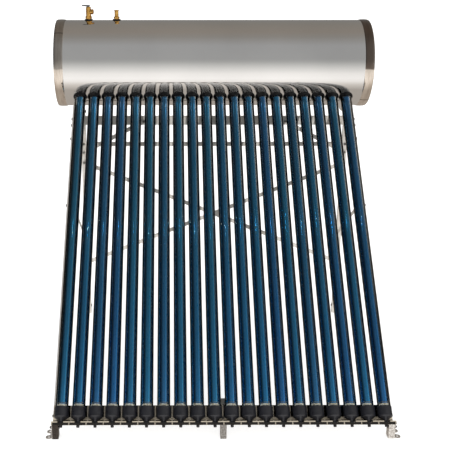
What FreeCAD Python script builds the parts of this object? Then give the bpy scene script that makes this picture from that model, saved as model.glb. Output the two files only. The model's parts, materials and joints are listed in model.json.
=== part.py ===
"""Evacuated-tube solar water heater on a stainless floor frame.

Millimetres, +X along the tank, -Y towards the feet of the tubes, +Z up.  Every piece is
first built about the tank axis and export() then moves it so that the origin is the
centre of the object's footprint on the floor.
"""
import FreeCAD, Part
import math
import os

V = FreeCAD.Vector
X_AXIS = V(1, 0, 0)
Y_AXIS = V(0, 1, 0)
Z_AXIS = V(0, 0, 1)
CENTRE = V(0, 0, 0)

# ---- driving dimensions -------------------------------------------------------------
tube_count = 20
tube_pitch = 75.0
tube_tilt = 43.5             # degrees above the floor
axis_height = 1450.0         # tank axis above the floor

shell_radius = 230.0
shell_wall = 0.8
tank_half = 842.0            # half length over the end bands
band_width = 48.0
band_bead = 2.6
cover_bulge = 18.0
vessel_radius = 185.0
vessel_wall = 2.0
vessel_half = 735.0
vessel_dish = 50.0

glass_radius = 29.0
glass_wall = 1.8
absorber_radius = 23.5
absorber_wall = 1.6
tube_top = 188.0             # distances down the tubes are from the tank axis
tube_end = 1976.0
seal_radius = 35.0

cup_rim = 1930.0
cup_radius = 32.0
cup_skirt = 45.0
cup_cone = 20.0
stem_radius = 7.5
cup_nut_flats = 20.0

rail_seat = 1998.0           # where the cups' stems meet the tail rail
rail_half = 753.0
sheet = 2.0
rail_sheet = 1.5
rail_back = -36.0            # heights off the tube plane: + is the sunny side
rail_front = 23.5
rail_rise = 88.0
rail_lip = 17.0

side_width = 29.0
side_depth = 28.0
side_top = 262.0

leg_width = 25.0
leg_front = -101.0
leg_depth = 28.0
web_out = 724.0              # outer face of the cradles' inner web

foot_front = -1462.0
foot_depth = 38.0
foot_width = 27.0
pad_thick = 3.0

valve_x = -670.0
outlet_x = -519.0
inlet_x = 560.0
inlet_turn = -130.0          # degrees about X from straight up

bolt_radius = 4.0
small_bolt_radius = 3.0
bolt_clear = 0.2

# ---- places worked out from them ----------------------------------------------------
sin_t = math.sin(math.radians(tube_tilt))
cos_t = math.cos(math.radians(tube_tilt))
floor = -axis_height
band_reach = shell_radius + 1.4 + band_bead
lip_end = rail_seat + rail_lip
front_reach = cos_t * lip_end + sin_t * rail_front
axis_y = (front_reach - band_reach) / 2
tube_xs = [(i - (tube_count - 1) / 2) * tube_pitch for i in range(tube_count)]
left_leg_x = -(web_out - sheet)
right_leg_x = web_out
side_in = rail_half - side_width
rail_under = rail_seat + rail_sheet


# ---- small helpers ------------------------------------------------------------------
def point(x, s, n):
    """A point s down the tubes and n above their plane, about the tank axis."""
    return V(x, -cos_t * s - sin_t * n, -sin_t * s + cos_t * n)


def box(x0, x1, y0, y1, z0, z1):
    return Part.makeBox(x1 - x0, y1 - y0, z1 - z0, V(x0, y0, z0))


def rod(start, axis, radius, length):
    return Part.makeCylinder(radius, length, start, axis)


def pipe(start, axis, outer, inner, length):
    return rod(start, axis, outer, length).cut(rod(start, axis, inner, length))


def fused(shapes):
    result = shapes[0]
    for shape in shapes[1:]:
        result = result.fuse(shape)
    return result.removeSplitter()


def extruded(points, along):
    wire = Part.makePolygon(points + [points[0]])
    return Part.Face(wire).extrude(along)


def revolved(edges):
    """Turn a closed profile, drawn with x as radius and z as height, about Z."""
    return Part.Face(Part.Wire(edges)).revolve(CENTRE, Z_AXIS, 360)


def lines(pairs):
    points = [V(r, 0, z) for r, z in pairs]
    return [Part.makeLine(a, b) for a, b in zip(points, points[1:])]


def turned(pairs):
    return revolved(lines(pairs + [pairs[0]]))


def tilted(shape):
    """Swing a piece drawn hanging down -Z, with its back to +Y, to the tubes' slope."""
    shape.rotate(CENTRE, X_AXIS, tube_tilt - 90)
    return shape


def plate(points, x0, x1):
    """A flat plate lying in the YZ plane from (y, z) points."""
    return extruded([V(x0, y, z) for y, z in points], V(x1 - x0, 0, 0))


def sloped_box(x0, x1, n0, n1, s0, s1):
    """A box lying along the tubes."""
    return tilted(box(x0, x1, -n1, -n0, -s1, -s0))


def arc_plate(r0, r1, a0, a1, x0, x1):
    """A ring sector about the tank axis; angles run from -Y down and round the back."""
    def at(r, a):
        angle = math.radians(a)
        return V(x0, -r * math.cos(angle), -r * math.sin(angle))
    middle = (a0 + a1) / 2
    edges = [Part.Arc(at(r0, a0), at(r0, middle), at(r0, a1)).toShape(),
             Part.makeLine(at(r0, a1), at(r1, a1)),
             Part.Arc(at(r1, a1), at(r1, middle), at(r1, a0)).toShape(),
             Part.makeLine(at(r1, a0), at(r0, a0))]
    return Part.Face(Part.Wire(edges)).extrude(V(x1 - x0, 0, 0))


def link(p, q, width, normal):
    """A flat strap with round ends from hole p to hole q, its thickness along normal."""
    along = (q - p).normalize()
    side = normal.cross(along).normalize() * (width / 2)
    end = along * (width / 2)
    edges = [Part.makeLine(p + side, q + side),
             Part.Arc(q + side, q + end, q - side).toShape(),
             Part.makeLine(q - side, p - side),
             Part.Arc(p - side, p - end, p + side).toShape()]
    return Part.Face(Part.Wire(edges)).extrude(normal)


def channel(x0, x1, y0, y1, z0, z1, wall):
    """An upright channel, open to the back."""
    return box(x0, x1, y0, y1, z0, z1).cut(
        box(x0 + wall, x1 - wall, y0 + wall, y1 + 1, z0 - 1, z1 + 1))


def hexagon(start, axis, flats, length):
    radius = flats / math.sqrt(3)
    corners = [V(radius * math.cos(math.radians(60 * k)), radius * math.sin(math.radians(60 * k)), 0)
               for k in range(6)]
    prism = extruded(corners, V(0, 0, length))
    prism.Placement = FreeCAD.Placement(start, FreeCAD.Rotation(Z_AXIS, axis))
    return prism


def rounded_hexagon(start, axis, flats, length):
    """A nut or bolt head, its corners turned back by a chamfer."""
    radius = flats / math.sqrt(3)
    cone = turned([(0, 0), (radius - 0.4, 0), (radius, 0.8), (radius, length - 0.8),
                   (radius - 0.8, length), (0, length)])
    cone.Placement = FreeCAD.Placement(start, FreeCAD.Rotation(Z_AXIS, axis))
    return hexagon(start, axis, flats, length).common(cone)


# ---- tank ---------------------------------------------------------------------------
socket_outer = 17.0
socket_inner = 13.2
socket_top = 234.0
anode_flats = 36.0


def radial(x, turn, shape):
    """Move a piece drawn standing on the tank axis to a place round the tank."""
    shape.rotate(CENTRE, X_AXIS, turn)
    shape.translate(V(x, 0, 0))
    return shape


port_places = [(valve_x, 0.0), (outlet_x, 0.0), (inlet_x, inlet_turn)]


def tube_axis_rods(radius, s0, s1):
    down = point(0, 1, 0)
    return [rod(point(x, s0, 0), down, radius, s1 - s0) for x in tube_xs]


def port_rods(radius, r0, r1):
    return [radial(x, turn, rod(V(0, 0, r0), Z_AXIS, radius, r1 - r0))
            for x, turn in port_places]


def dish(radius, z_rim, z_crown):
    """A shallow arc from the rim to the crown on the axis."""
    half = radius / 2
    rise = z_crown - z_rim
    return Part.Arc(V(radius, 0, z_rim), V(half * 1.12, 0, z_rim + rise * 0.69),
                    V(0, 0, z_crown)).toShape()


def vessel_solid(grow=0.0):
    """The pressure vessel's outer form: a cylinder with shallow dished ends."""
    radius = vessel_radius + grow
    crown = vessel_half + vessel_dish + grow
    edges = [Part.makeLine(V(0, 0, -crown), V(0, 0, crown)),
             dish(radius, vessel_half, crown),
             Part.makeLine(V(radius, 0, vessel_half), V(radius, 0, -vessel_half)),
             dish(radius, -vessel_half, -crown)]
    solid = revolved(Part.__sortEdges__(edges))
    solid.rotate(CENTRE, Y_AXIS, 90)
    return solid


def inner_tank():
    vessel = vessel_solid().cut(vessel_solid(-vessel_wall))
    holes = tube_axis_rods(13.5, 150, 200) + port_rods(socket_outer, 170, 200)
    holes.append(rod(V(-tank_half, 0, 0), X_AXIS, 13.0, 200))
    return vessel.cut(holes)


def insulation_foam():
    foam = rod(V(-tank_half + 6, 0, 0), X_AXIS, shell_radius - shell_wall, 2 * (tank_half - 6))
    plug_room = rod(V(-vessel_half - vessel_dish - 20, 0, 0), X_AXIS, anode_flats / 2 + 3.5, 60)
    holes = [vessel_solid(), plug_room]
    holes += tube_axis_rods(glass_radius, tube_top, 240)
    holes += tube_axis_rods(glass_radius + 2, 214, 240)
    holes += tube_axis_rods(13.5, 150, 200)
    holes += port_rods(socket_outer, 170, 240)
    return foam.cut(holes)


def outer_shell():
    shell = pipe(V(-tank_half + 4, 0, 0), X_AXIS, shell_radius, shell_radius - shell_wall,
                 2 * (tank_half - 4))
    return shell.cut(tube_axis_rods(glass_radius + 2, 214, 240) + port_rods(socket_outer, 200, 240))


def end_band(side):
    """The wrapped strip round one end, with a rolled bead along both edges."""
    outer = tank_half
    inner = tank_half - band_width
    strip = pipe(V(inner, 0, 0), X_AXIS, shell_radius + 1.4, shell_radius, band_width)
    lip = pipe(V(outer - 1.4, 0, 0), X_AXIS, shell_radius + 1.4, shell_radius - 5, 1.4)
    beads = [Part.makeTorus(shell_radius + 1.4, band_bead, V(x, 0, 0), X_AXIS)
             for x in (inner + band_bead, outer - band_bead)]
    band = fused([strip, lip] + beads).cut(
        rod(V(inner - 5, 0, 0), X_AXIS, shell_radius, band_width + 3.6))
    return band if side > 0 else band.mirror(CENTRE, X_AXIS)


def ball(radius, crown_x):
    """A sphere whose crown on the tank axis lies at crown_x, with its seam turned away from it."""
    sphere = Part.makeSphere(radius)
    sphere.rotate(CENTRE, Z_AXIS, 90)
    sphere.translate(V(crown_x - radius, 0, 0))
    return sphere


def end_cover(side):
    """A spun cover, gently domed, held behind the band's inner lip."""
    wall = 1.2
    rim = tank_half - 1.4
    radius = shell_radius - shell_wall - 0.2
    face = radius - 6
    dome_radius = (face ** 2 + cover_bulge ** 2) / (2 * cover_bulge)
    crown = rim + cover_bulge
    plug = rod(V(rim - wall, 0, 0), X_AXIS, face, cover_bulge + 5)
    dome = plug.common(ball(dome_radius, crown)).cut(ball(dome_radius - wall, crown - wall))
    ring = pipe(V(rim - wall, 0, 0), X_AXIS, radius, face - 3, wall)
    cover = fused([dome, ring])
    return cover if side > 0 else cover.mirror(CENTRE, X_AXIS)


def tank_sockets():
    """Threaded sockets welded into the vessel, one for each water connection."""
    return [radial(x, turn, pipe(V(0, 0, vessel_radius - 7), Z_AXIS, socket_outer, socket_inner,
                                 socket_top - vessel_radius + 7))
            for x, turn in port_places]


def port_grommets():
    """Rubber rings that close the shell round the sockets."""
    shell = rod(V(-tank_half, 0, 0), X_AXIS, shell_radius, 2 * tank_half)
    rings = []
    for x, turn in port_places:
        ring = turned([(socket_outer, 226), (22, 226), (22, 233.5), (20.5, 235), (socket_outer, 235)])
        rings.append(radial(x, turn, ring).cut(shell))
    return rings


def heat_pipe_sleeves():
    """Blind pockets in the vessel that the condensers slide into."""
    down = point(0, 1, 0)
    sleeves = []
    for x in tube_xs:
        body = rod(point(x, 100, 0), down, 13.5, 97)
        sleeves.append(body.cut(rod(point(x, 102, 0), down, 12.2, 100)))
    return sleeves


def anode_rod():
    """Magnesium rod and its hexagon plug, screwed through the left dished end."""
    start = -vessel_half - vessel_dish
    plug = hexagon(V(start - 14, 0, 0), X_AXIS, anode_flats, 13.5)
    shank = rod(V(start - 1, 0, 0), X_AXIS, 12.9, 16)
    core = rod(V(start + 14, 0, 0), X_AXIS, 11, 500)
    return fused([plug, shank, core])


def water_nipple():
    """Brass pipe end: thread, hexagon, waist and a wider threaded mouth."""
    body = turned([(7, 216), (13.1, 216), (13.1, 236), (12, 236.5), (13, 239), (13, 247), (10.8, 249),
                   (10.8, 277), (13, 280), (13, 283), (9.3, 283), (9.3, 269), (7, 267)])
    collar = rounded_hexagon(V(0, 0, 238), Z_AXIS, 27, 9)
    return fused([body, collar.cut(rod(V(0, 0, 230), Z_AXIS, 12, 30))])


def water_nipples():
    return [radial(x, turn, water_nipple()) for x, turn in port_places[1:]]


# ---- temperature and pressure relief valve ------------------------------------------
valve_seat = 262.0
bonnet_top = 300.0
pin_rise = 5.0
stem_lift = 3.0
outlet_turn = -14.0          # the discharge outlet looks past the hot-water pipe
pin_z = bonnet_top + pin_rise


def valve_body():
    body = turned([(0, 214), (13.1, 214), (13.1, 236), (12, 236.5), (12, 240), (14, 252), (14, 288), (0, 288)])
    collar = rounded_hexagon(V(0, 0, 237), Z_AXIS, 30, 13)
    outlet = turned([(0, 0), (13, 0), (13, 22), (14, 22), (14, 25), (13, 25), (13, 26), (0, 26)])
    passage = turned([(0, 0), (7, 0), (7, 10), (9.3, 12), (9.3, 40), (0, 40)])
    for shape in (outlet, passage):
        shape.rotate(V(0, 0, 0), Y_AXIS, 90)
        shape.rotate(V(0, 0, 0), Z_AXIS, outlet_turn)
        shape.translate(V(0, 0, 274))
    solid = fused([body, collar, outlet])
    solid = solid.cut([rod(V(0, 0, 210), Z_AXIS, 6, 60),
                       rod(V(0, 0, valve_seat), Z_AXIS, 11, 40), passage])
    return radial(valve_x, 0, solid)


def valve_bonnet():
    """Screwed cap over the spring; the stem comes out through its top."""
    cap = turned([(2.45, 297), (9, 297), (9, 283), (10.9, 283), (10.9, 288), (13, 288), (13, 297),
                  (11.5, bonnet_top), (2.45, bonnet_top)])
    return radial(valve_x, 0, cap)


def valve_stem():
    disc = rod(V(0, 0, valve_seat), Z_AXIS, 8, 4)
    shaft = rod(V(0, 0, valve_seat), Z_AXIS, 2.4, bonnet_top + 2 - valve_seat)
    head = box(-3.5, 3.5, -3.4, 3.4, bonnet_top + 1, bonnet_top + 10)
    stem = fused([disc, shaft, head]).cut(rod(V(0, -5, pin_z), Y_AXIS, 1.45, 10))
    return radial(valve_x, 0, stem)


def valve_probe():
    """Thermal element that hangs from the disc into the hot water."""
    bulb = Part.makeSphere(4, V(0, 0, 134))
    return radial(valve_x, 0, fused([rod(V(0, 0, 134), Z_AXIS, 4, valve_seat - 134), bulb]))


def valve_spring():
    wire = 0.8
    low = valve_seat + 4 + wire
    high = 297 - wire
    turns = 7
    helix = Part.makeHelix((high - low) / turns, high - low, 6.2)
    ring = Part.Wire(Part.makeCircle(wire, V(6.2, 0, 0), Y_AXIS))
    coil = Part.Wire(helix).makePipeShell([ring], True, True)
    coil.translate(V(0, 0, low))
    return radial(valve_x, 0, coil)


def valve_lever():
    """Test lever: its heel is a cam that raises the stem evenly through a quarter turn."""
    play = 0.1
    slope = stem_lift / (math.pi / 2)
    cam = []
    for k in range(10):
        angle = math.radians(10 * k)
        reach = pin_rise - play + slope * angle
        cam.append(V(reach * math.sin(angle) + slope * math.cos(angle), 0,
                     -reach * math.cos(angle) + slope * math.sin(angle)))
    curve = Part.BSplineCurve()
    curve.interpolate(cam)
    corners = [cam[-1], V(6, 0, 5), V(-8, 0, 4.8), V(-33, 0, 4.8), V(-36, 0, 3), V(-35, 0, -1.6),
               V(-12, 0, -2.4), V(-6, 0, -4.9), cam[0]]
    outline = [curve.toShape()] + [Part.makeLine(a, b) for a, b in zip(corners, corners[1:])]
    face = Part.Face(Part.Wire(Part.__sortEdges__(outline)))
    cheeks = []
    for y in (-5.6, 3.6):
        cheek = face.extrude(V(0, 2, 0))
        cheek.translate(V(0, y, 0))
        cheeks.append(cheek)
    profile = [V(-12, -5.6, 2.8), V(-33, -5.6, 2.8), V(-35.2, -5.6, 0), V(-36, -5.6, 3),
               V(-33, -5.6, 4.8), V(-12, -5.6, 4.8)]
    blade = extruded(profile, V(0, 11.2, 0))
    lever = fused(cheeks + [blade]).cut(rod(V(0, -8, 0), Y_AXIS, 1.5, 16))
    lever.translate(V(0, 0, pin_z))
    return radial(valve_x, 0, lever)


def lever_pin():
    return radial(valve_x, 0, rod(V(0, -6.6, pin_z), Y_AXIS, 1.45, 13.2))


# ---- evacuated tubes ----------------------------------------------------------------
def domed_tube(radius, wall, s0, s1, closed_lip=0.0):
    """A glass tube down -Z with a round closed end; the lip turns in at the open end."""
    inner = radius - wall
    centre = -s1 + radius
    diagonal = math.sqrt(0.5)
    mouth = inner - closed_lip
    edges = lines([(mouth, -s0), (radius, -s0), (radius, centre)])
    edges.append(Part.Arc(V(radius, 0, centre), V(radius * diagonal, 0, centre - radius * diagonal),
                          V(0, 0, -s1)).toShape())
    edges += lines([(0, -s1), (0, -s1 + wall)])
    edges.append(Part.Arc(V(0, 0, -s1 + wall), V(inner * diagonal, 0, centre - inner * diagonal),
                          V(inner, 0, centre)).toShape())
    edges += lines([(inner, centre), (inner, -s0 - 2), (mouth, -s0 - 2), (mouth, -s0)]
                   if closed_lip else [(inner, centre), (inner, -s0)])
    return revolved(edges)


def placed(shape, x):
    shape = tilted(shape)
    shape.translate(V(x, 0, 0))
    return shape


def vacuum_tube(x):
    gap = glass_radius - glass_wall - absorber_radius
    return placed(domed_tube(glass_radius, glass_wall, tube_top, tube_end, gap), x)


def absorber_tubes():
    return [placed(domed_tube(absorber_radius, absorber_wall, tube_top, tube_end - 14), x)
            for x in tube_xs]


def heat_pipes():
    pipes = []
    for x in tube_xs:
        pipe_body = turned([(0, -105), (9, -105), (12, -108), (12, -166), (9, -172), (4, -180),
                            (4, -1930), (0, -1932)])
        pipes.append(placed(pipe_body, x))
    return pipes


def heat_fins():
    """Rolled aluminium sheet inside each absorber, open along a slit at the back."""
    fins = []
    for x in tube_xs:
        roll = pipe(V(0, 0, -1900), Z_AXIS, 21.4, 20.8, 1650)
        slit = box(-6, 6, 10, 30, -1901, -200)
        web = box(-0.3, 0.3, -21, -4.6, -1900, -250)
        grip = pipe(V(0, 0, -1900), Z_AXIS, 4.8, 4.1, 1650)
        fins.append(placed(fused([roll.cut(slit), web, grip]), x))
    return fins


def tube_seals():
    """Silicone dust rings, shaped to the shell, where the tubes enter it."""
    shell = rod(V(-tank_half, 0, 0), X_AXIS, shell_radius, 2 * tank_half)
    down = point(0, 1, 0)
    seals = []
    for x in tube_xs:
        flange = turned([(20, -224), (seal_radius, -224), (seal_radius, -240), (seal_radius - 3, -243.5),
                         (20, -244)])
        flange = placed(flange, x).cut(shell)
        neck = rod(point(x, 216, 0), down, glass_radius + 1.9, 20)
        bore = rod(point(x, 200, 0), down, glass_radius, 60)
        seals.append(fused([flange, neck]).cut(bore))
    return seals


def tube_cups():
    """Plastic end cups: a skirt, a cone and a threaded stem."""
    rim = -cup_rim
    skirt = rim - cup_skirt
    tip = skirt - cup_cone
    bore = glass_radius + 0.4
    cups = []
    for x in tube_xs:
        cup = turned([(cup_radius - 1, rim), (cup_radius, rim - 1.5), (cup_radius, skirt),
                      (stem_radius + 1, tip), (stem_radius, tip - 1), (stem_radius, tip - 24), (0, tip - 24),
                      (0, tip + 15), (12, tip + 16), (bore - 4, skirt + 3), (bore, skirt + 14), (bore, rim)])
        cups.append(placed(cup, x))
    return cups


def cup_nuts():
    down = point(0, 1, 0)
    return [rounded_hexagon(point(x, rail_under, 0), down, cup_nut_flats, 8).cut(
        rod(point(x, rail_under - 1, 0), down, stem_radius, 12)) for x in tube_xs]


# ---- frame --------------------------------------------------------------------------
def tail_rail():
    """Folded sheet across the bottom: tall back, seat for the stems, front lip."""
    back = sloped_box(-rail_half, rail_half, rail_back - rail_sheet, rail_back,
                      rail_seat - rail_rise, rail_under)
    seat = sloped_box(-rail_half, rail_half, rail_back - rail_sheet, rail_front, rail_seat, rail_under)
    lip = sloped_box(-rail_half, rail_half, rail_front - rail_sheet, rail_front, rail_seat, lip_end)
    rail = fused([back, seat, lip])
    slots = []
    half = stem_radius + 0.5
    for x in tube_xs:
        slots.append(sloped_box(x - half, x + half, 0, rail_front + 1, rail_seat - 1, rail_seat + 9))
        slots.append(rod(point(x, rail_seat - 1, 0), point(0, 1, 0), half, 4))
    return rail.cut(slots)


def front_rail(side):
    """Side channel under the tubes, open towards the middle."""
    n1 = rail_back - rail_sheet
    n0 = n1 - side_depth
    solid = sloped_box(side_in, rail_half, n0, n1, side_top, rail_seat)
    hollow = sloped_box(side_in - 1, rail_half - rail_sheet, n0 + rail_sheet, n1 - rail_sheet,
                        side_top - 1, rail_seat + 1)
    rail = solid.cut(hollow)
    return rail if side > 0 else rail.mirror(CENTRE, X_AXIS)


saddle_start = 55.0
saddle_end = 125.0
saddle_radius = shell_radius + sheet
web_radius = 262.0
arm_top = rail_back - 2 * rail_sheet - 0.5      # arms that run inside the side channels
arm_bottom = arm_top - side_depth + 4.5


def tank_cradle(side):
    """Curved saddle with two webs; one web runs down inside the side channel."""
    out = rail_half - rail_sheet
    parts = [arc_plate(shell_radius, saddle_radius, saddle_start, saddle_end, web_out - sheet, out)]
    tab = [(leg_front, -300), (leg_front + leg_depth, -300), (leg_front + leg_depth, -225), (leg_front, -225)]
    for x0, x1 in ((web_out - sheet, web_out), (out - sheet, out)):
        parts.append(arc_plate(shell_radius, web_radius, saddle_start, saddle_end, x0, x1))
        parts.append(plate(tab, x0, x1))
    parts.append(sloped_box(out - sheet, out, arm_bottom, arm_top, 240, 415))
    cradle = fused(parts).cut(rod(CENTRE, X_AXIS, shell_radius, 1000))
    return cradle if side > 0 else cradle.mirror(CENTRE, X_AXIS)


def rear_leg(x0):
    return channel(x0, x0 + leg_width, leg_front, leg_front + leg_depth, floor, -236, rail_sheet)


layer_one = leg_front - sheet
layer_two = leg_front - 2 * sheet
bar_top = -276.0
bar_height = 48.0
tie_top = -421.0
tie_height = 22.0
brace_width = 22.0


def cross_bar(top, height, flange):
    """Cross member over the fronts of both legs, with lips folded back between them."""
    x0 = left_leg_x
    web = box(x0, right_leg_x + leg_width, layer_one, leg_front, top - height, top)
    lips = [box(x0 + leg_width + 2, web_out - sheet - 2, layer_one, leg_front + flange, z, z + sheet)
            for z in (top - sheet, top - height)]
    return fused([web] + lips)


leg_mid_left = left_leg_x + leg_width / 2
leg_mid_right = right_leg_x + leg_width / 2
brace_high = -537.0
brace_low = -1128.0
knee_low = -478.0
knee_high = -305.0
knee_run = 334.5
back_brace_ends = [((leg_mid_left, brace_high), (leg_mid_right, brace_low), layer_one),
                   ((leg_mid_left, brace_low), (leg_mid_right, brace_high), layer_two)]
knee_ends = [((leg_mid_left, knee_low), (leg_mid_left + knee_run, knee_high), layer_two),
             ((leg_mid_right, knee_low), (leg_mid_right - knee_run, knee_high), layer_two)]


def flat_strap(ends):
    (xa, za), (xb, zb), y = ends
    return link(V(xa, y, za), V(xb, y, zb), brace_width, V(0, sheet, 0))


side_bolts = [340.0, 380.0]
plug_bolt = 466.0
brace_bolt = 872.0
side_mid = rail_back - rail_sheet - side_depth / 2
brace_foot_y = leg_front + leg_depth / 2
brace_foot_z = -966.0


def side_brace(side):
    """Strap from the side channel down and back to the rear leg."""
    x = -web_out if side < 0 else web_out - sheet
    return link(point(x, brace_bolt, side_mid), V(x, brace_foot_y, brace_foot_z), brace_width,
                V(sheet, 0, 0))


def foot_top(shape):
    """Cut a foot off along the underside of the tail rail's seat."""
    return shape.cut(sloped_box(-900, 900, -300, 300, 1700, rail_under))


def front_foot(x0, ear_x):
    """Short upright channel; one cheek runs up inside the side channel."""
    foot = channel(x0, x0 + foot_width, foot_front, foot_front + foot_depth, floor, floor + 140, sheet)
    ear = sloped_box(ear_x, ear_x + sheet, arm_bottom, arm_top, rail_seat - 70, rail_seat + 30)
    return fused([foot_top(foot), ear])


def centre_foot():
    """The middle foot has a tongue that rises behind the tail rail instead."""
    half = foot_width / 2
    foot = foot_top(channel(-half, half, foot_front, foot_front + foot_depth, floor, floor + 140, sheet))
    n1 = rail_back - rail_sheet
    tongue = sloped_box(-half + 0.5, half - 0.5, n1 - sheet, n1, rail_seat - rail_rise - 32, rail_seat + 26)
    return fused([foot, tongue])


def front_feet():
    out = rail_half - rail_sheet
    return [front_foot(-out, -out), front_foot(out - foot_width, out - sheet), centre_foot()]


pad_depth = 82.0
pad_hole = 4.75
pad_hole_gap = 46.0
pad_flange = 80.0
pad_holes_out = 17.0
pad_lobe = 14.0


def foot_pad(x_face, side, y_front, y_post, post_depth):
    """Bent foot plate: an upright cheek on the post and two round ears on the floor."""
    x0, x1 = sorted((x_face, x_face + side * sheet))
    cheek = box(x0, x1, y_post, y_post + post_depth, floor, floor + pad_flange)
    hole_x = x_face + side * pad_holes_out
    hole_ys = [y_front + 18, y_front + 18 + pad_hole_gap]
    lobes = [rod(V(hole_x, y, floor), Z_AXIS, pad_lobe, pad_thick) for y in hole_ys]
    neck0, neck1 = sorted((x_face, hole_x - side * 4))
    lobes.append(box(neck0, neck1, y_front + 6, y_front + pad_depth - 6, floor, floor + pad_thick))
    holes = [rod(V(hole_x, y, floor - 1), Z_AXIS, pad_hole, 10) for y in hole_ys]
    return fused([cheek] + lobes).cut(holes)


front_pad_y = foot_front - 3.0
rear_pad_y = leg_front - 27.0
pad_places = [(-(rail_half - rail_sheet), -1, front_pad_y, foot_front + 1, foot_depth - 2),
              (rail_half - rail_sheet, 1, front_pad_y, foot_front + 1, foot_depth - 2),
              (left_leg_x, -1, rear_pad_y, leg_front + 1, leg_depth - 2),
              (right_leg_x + leg_width, 1, rear_pad_y, leg_front + 1, leg_depth - 2)]


def foot_plates():
    return [foot_top(foot_pad(*place)) for place in pad_places]


# ---- fasteners ----------------------------------------------------------------------
class Bolt:
    """A hexagon bolt: head on the near side of the joint, nut on the far side."""
    def __init__(self, seat, axis, grip, radius=bolt_radius):
        self.seat = seat
        self.axis = axis.normalize()
        self.grip = grip
        self.radius = radius
        self.flats = 13.0 if radius == bolt_radius else 10.0

    def hole(self):
        return rod(self.seat - self.axis * 0.5, self.axis, self.radius + bolt_clear, self.grip + 12)

    def solid(self):
        height = 1.32 * self.radius
        head = rounded_hexagon(self.seat - self.axis * height, self.axis, self.flats, height)
        shank = rod(self.seat - self.axis, self.axis, self.radius, self.grip + 2.6 * self.radius)
        return head.fuse(shank).removeSplitter()

    def nut_solid(self):
        start = self.seat + self.axis * self.grip
        body = rounded_hexagon(start, self.axis, self.flats, 1.6 * self.radius)
        return body.cut(rod(start - self.axis, self.axis, self.radius, 10))


def frame_bolt_list():
    """Every bolt of the frame, in the order that it is put together."""
    bolts = []
    out = rail_half
    for side in (-1, 1):
        for s in side_bolts + [rail_seat - 45]:
            bolts.append(Bolt(point(side * out, s, side_mid), V(-side, 0, 0), rail_sheet + sheet))
        bolts.append(Bolt(point(side * out, plug_bolt, side_mid), V(-side, 0, 0), rail_sheet))
        bolts.append(Bolt(point(side * out, brace_bolt, side_mid), V(-side, 0, 0), out - web_out + sheet))
        for x in (rail_half - 9.5, rail_half - 22.5):
            bolts.append(Bolt(point(side * x, rail_seat - 12, rail_back), point(0, 0, -1),
                              2 * rail_sheet, small_bolt_radius))
        pad_face = side * (out - rail_sheet - foot_width)
        bolts.append(Bolt(V(pad_face, foot_front + 16, floor + 50), V(side, 0, 0), foot_width + sheet))
    leg_y = leg_front + leg_depth / 2 + 1
    leg_faces = [(left_leg_x + leg_width, -1, leg_mid_left), (right_leg_x, 1, leg_mid_right)]
    for face, side, middle in leg_faces:
        wall = sheet if side > 0 else 0
        through = rail_half - rail_sheet - web_out + sheet if side > 0 else leg_width + sheet
        bolts.append(Bolt(V(face, leg_y, floor + 45), V(side, 0, 0), leg_width + sheet))
        for z in (-252.0, -288.0):
            bolts.append(Bolt(V(face - side * wall, leg_y, z), V(side, 0, 0), through))
        bolts.append(Bolt(V(face - side * wall, brace_foot_y, brace_foot_z), V(side, 0, 0),
                          leg_width + sheet))
        for z in (bar_top - bar_height / 2, tie_top - tie_height / 2):
            bolts.append(Bolt(V(middle, layer_one, z), V(0, 1, 0), sheet + rail_sheet))
    for strap in back_brace_ends + knee_ends:
        for x, z in strap[:2]:
            behind = leg_front + (rail_sheet if abs(x) > 600 else 0)
            bolts.append(Bolt(V(x, strap[2], z), V(0, 1, 0), behind - strap[2]))
    crossing = V((leg_mid_left + leg_mid_right) / 2, layer_two, (brace_high + brace_low) / 2)
    bolts.append(Bolt(crossing, V(0, 1, 0), 2 * sheet))
    bolts.append(Bolt(point(0, rail_seat - 30, rail_back), point(0, 0, -1), rail_sheet + sheet))
    return bolts


def strap_washers():
    """Spacers between the legs and the straps that cross over another one."""
    places = [back_brace_ends[1][0], back_brace_ends[1][1], knee_ends[0][0], knee_ends[1][0]]
    return [rod(V(x, layer_one, z), Y_AXIS, 8, sheet) for x, z in places]


def drilled(shape, bolts):
    """Cut the bolts' clearance holes wherever they pass through a piece."""
    for bolt in bolts:
        hole = bolt.hole()
        if shape.BoundBox.intersect(hole.BoundBox):
            shape = shape.cut(hole)
    return shape


# ---- output -------------------------------------------------------------------------
def export(name, shape):
    solids = shape if isinstance(shape, list) else [shape]
    moved = []
    for solid in solids:
        copy = solid.copy()
        copy.translate(V(0, axis_y, axis_height))
        moved += copy.Solids
    result = moved[0] if len(moved) == 1 else Part.makeCompound(moved)
    result.exportStep(os.path.join("parts", name + ".step"))
    print(name, len(moved), "solids", "valid" if result.isValid() else "INVALID")
    return result.BoundBox


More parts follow.
